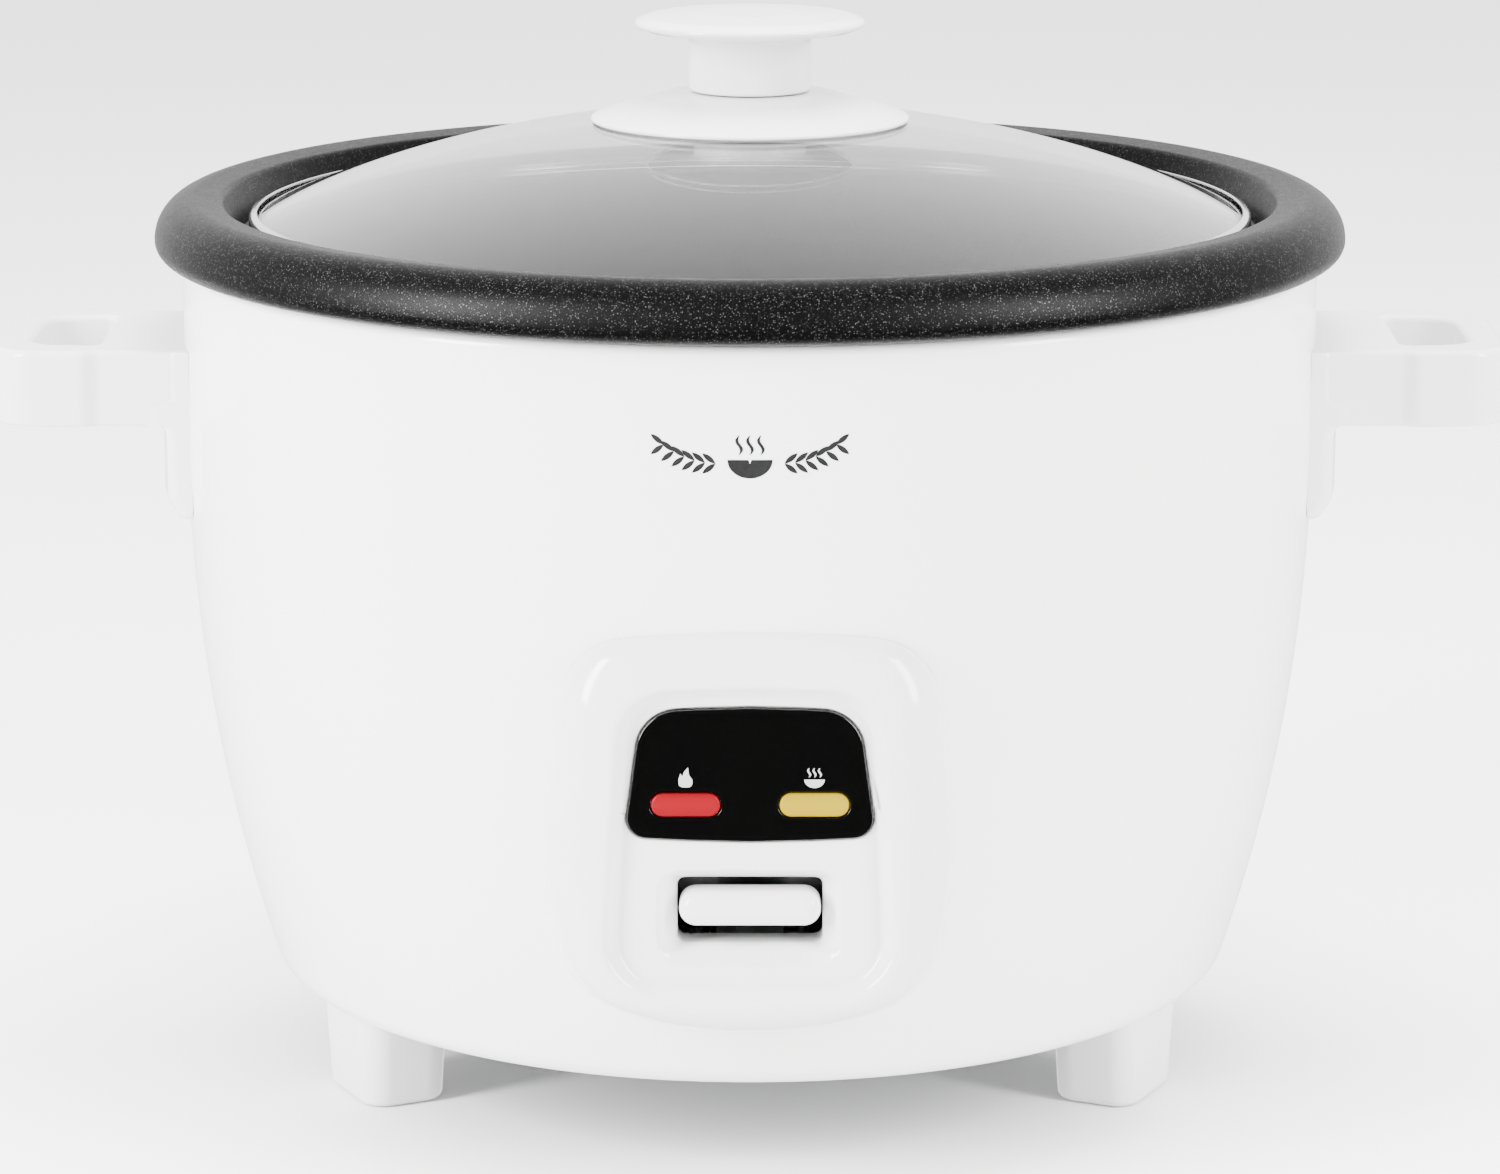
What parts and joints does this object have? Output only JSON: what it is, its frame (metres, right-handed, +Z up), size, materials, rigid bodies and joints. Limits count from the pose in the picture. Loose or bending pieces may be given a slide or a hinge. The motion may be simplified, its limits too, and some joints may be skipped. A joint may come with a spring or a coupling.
{
  "type": "rice cooker",
  "caption": "Round countertop rice cooker with a lift-out pot, glass lid with knob, two side loop handles, front lamp panel with a cook lever, and its heater and sensor inside.",
  "frame": {"origin": "on the surface it stands on, under the middle of the pot", "axes": "+Z up, -Y the front with the lamp panel and lever, +X towards the right-hand handle"},
  "size_m": [0.336, 0.265, 0.2371],
  "materials": {
    "white_paint": "gloss white enamel",
    "white_plastic": "gloss white moulded",
    "non_stick": "black non-stick coating with a fine pale fleck",
    "bare_aluminium": "satin, spun or cast",
    "polished_steel": "polished stainless",
    "zinc_steel": "zinc plated",
    "black_gloss": "high gloss black",
    "black_plastic": "satin black moulded",
    "red_lens": "translucent red",
    "yellow_lens": "translucent yellow",
    "lid_glass": "clear tempered",
    "lamp_glass": "clear",
    "brass": "bright",
    "ceramic": "unglazed ceramic",
    "ferrite": "ground ferrite",
    "silicone": "matt silicone",
    "wire_red": "silicone-sheathed wire",
    "wire_white": "silicone-sheathed wire"
  },
  "bodies": {
    "root": {"outer_shell": "white_paint", "base_plate": "zinc_steel", "foot_front_left": "white_plastic", "foot_screw_front_left": "zinc_steel", "foot_rear_left": "white_plastic", "foot_screw_rear_left": "zinc_steel", "foot_front_right": "white_plastic", "foot_screw_front_right": "zinc_steel", "foot_rear_right": "white_plastic", "foot_screw_rear_right": "zinc_steel", "inner_liner": "bare_aluminium", "heating_plate": "bare_aluminium", "heating_element": "zinc_steel", "element_tab_right": "brass", "element_tab_left": "brass", "plate_standoff_rear": "zinc_steel", "plate_standoff_left": "zinc_steel", "plate_standoff_right": "zinc_steel", "thermal_fuse": "ceramic", "warm_thermostat": "black_plastic", "sensor_guide": "zinc_steel", "sensor_spring": "polished_steel", "control_bezel": "white_plastic", "indicator_panel": "black_gloss", "lamp_holder": "ceramic", "cook_lens": "red_lens", "cook_lamp": "lamp_glass", "warm_lens": "yellow_lens", "warm_lamp": "lamp_glass", "lever_bracket": "zinc_steel", "lever_pin": "polished_steel", "lever_spring": "polished_steel", "micro_switch": "black_plastic", "handle_right": "white_plastic", "handle_left": "white_plastic", "handle_screw_left_front": "zinc_steel", "handle_screw_left_rear": "zinc_steel", "handle_screw_right_front": "zinc_steel", "handle_screw_right_rear": "zinc_steel", "inlet_housing": "black_plastic", "inlet_pin_left": "brass", "inlet_pin_right": "brass", "wire_neutral": "wire_white", "wire_live": "wire_red", "wire_heater": "wire_red"},
    "pot": {"inner_pot": "non_stick"},
    "lid": {"lid_glass": "lid_glass", "lid_band": "polished_steel", "knob": "white_plastic", "knob_skirt": "white_plastic", "knob_washer": "silicone", "knob_screw": "polished_steel", "vent_eyelet": "polished_steel"},
    "lever": {"switch_lever": "zinc_steel", "lever_button": "white_plastic"},
    "plunger": {"switch_plunger": "ceramic"},
    "sensor": {"sensor_cap": "bare_aluminium", "ferrite_disc": "ferrite"},
    "magnet_lift": {"magnet": "ferrite", "magnet_rod": "polished_steel"}
  },
  "joints": [
    {"name": "pot_lift", "type": "slide", "parent": "root", "child": "pot", "axis": [0, 0, 1], "range_m": [0, 0.15]},
    {"name": "lid_lift", "type": "slide", "parent": "pot", "child": "lid", "axis": [0, 0, 1], "range_m": [0, 0.1]},
    {"name": "cook_lever", "type": "hinge", "parent": "root", "child": "lever", "pos_m": [0, -0.075, 0.046], "axis": [1, 0, 0], "range_deg": [0, 5.5], "stiffness_Nm_per_rad": 0.3, "springref_deg": -28.65},
    {"name": "plunger_travel", "type": "slide", "parent": "root", "child": "plunger", "axis": [0, 0, 1], "range_m": [0, 0.0028]},
    {"name": "sensor_travel", "type": "slide", "parent": "root", "child": "sensor", "axis": [0, 0, 1], "range_m": [0, 0.0026], "deforming": ["sensor_spring"]},
    {"name": "magnet_travel", "type": "slide", "parent": "root", "child": "magnet_lift", "axis": [0, 0, 1], "range_m": [0, 0.0073]}
  ],
  "couplings": [
    {"joint": "sensor_travel", "follows": "pot_lift", "ratio": 0.016667},
    {"joint": "magnet_travel", "follows": "cook_lever", "m_per_rad": 0.0746},
    {"joint": "plunger_travel", "follows": "cook_lever", "m_per_rad": 0.0279}
  ]
}
